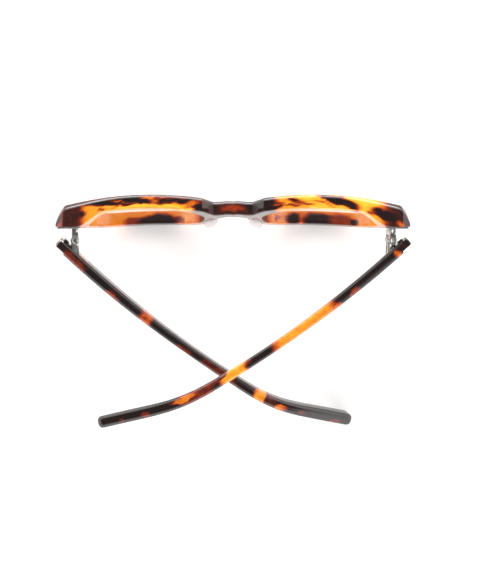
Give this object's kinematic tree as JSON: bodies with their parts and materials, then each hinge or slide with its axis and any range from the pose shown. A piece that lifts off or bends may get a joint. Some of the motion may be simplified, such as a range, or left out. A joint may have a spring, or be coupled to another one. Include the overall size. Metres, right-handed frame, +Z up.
{
  "type": "eyeglasses frame",
  "caption": "Full-rim tortoiseshell acetate spectacle frame with clear lenses, metal end trims and folding temples on barrel hinges.",
  "frame": {"origin": "centre of the footprint box, on the surface the frame stands on, with both temples half folded", "axes": "+X to the wearer's left along the front, +Y from the front back towards the temple tips, +Z up"},
  "size_m": [0.1444, 0.095, 0.0438],
  "materials": {
    "tortoise_acetate": "polished tortoiseshell, amber with dark brown patches",
    "clear_acetate": "polished, greyish, slightly see-through",
    "clear_lens": "clear demonstration lens",
    "polished_metal": "polished silver",
    "hinge_metal": "satin nickel silver",
    "screw_steel": "turned steel",
    "wire_steel": "plain steel, sealed inside the acetate"
  },
  "bodies": {
    "front": {"front_frame": "tortoise_acetate", "left_lens": "clear_lens", "left_nose_pad": "clear_acetate", "left_end_trim": "polished_metal", "left_front_hinge": "hinge_metal", "left_front_rivets": "wire_steel", "left_hinge_screw": "screw_steel", "right_lens": "clear_lens", "right_nose_pad": "clear_acetate", "right_end_trim": "polished_metal", "right_front_hinge": "hinge_metal", "right_front_rivets": "wire_steel", "right_hinge_screw": "screw_steel"},
    "left_temple": {"left_temple_arm": "tortoise_acetate", "left_butt_cap": "polished_metal", "left_core_wire": "wire_steel", "left_temple_hinge": "hinge_metal", "left_temple_rivets": "wire_steel"},
    "right_temple": {"right_temple_arm": "tortoise_acetate", "right_butt_cap": "polished_metal", "right_core_wire": "wire_steel", "right_temple_hinge": "hinge_metal", "right_temple_rivets": "wire_steel"}
  },
  "joints": [
    {"name": "left_temple_hinge_joint", "type": "hinge", "parent": "front", "child": "left_temple", "pos_m": [0.06376, -0.02961, 0.03325], "axis": [-0.165, 0.076, 0.9834], "range_deg": [-45.5, 32.5]},
    {"name": "right_temple_hinge_joint", "type": "hinge", "parent": "front", "child": "right_temple", "pos_m": [-0.06384, -0.02961, 0.03325], "axis": [0.165, -0.076, -0.9834], "range_deg": [-48.4, 29.6]}
  ]
}
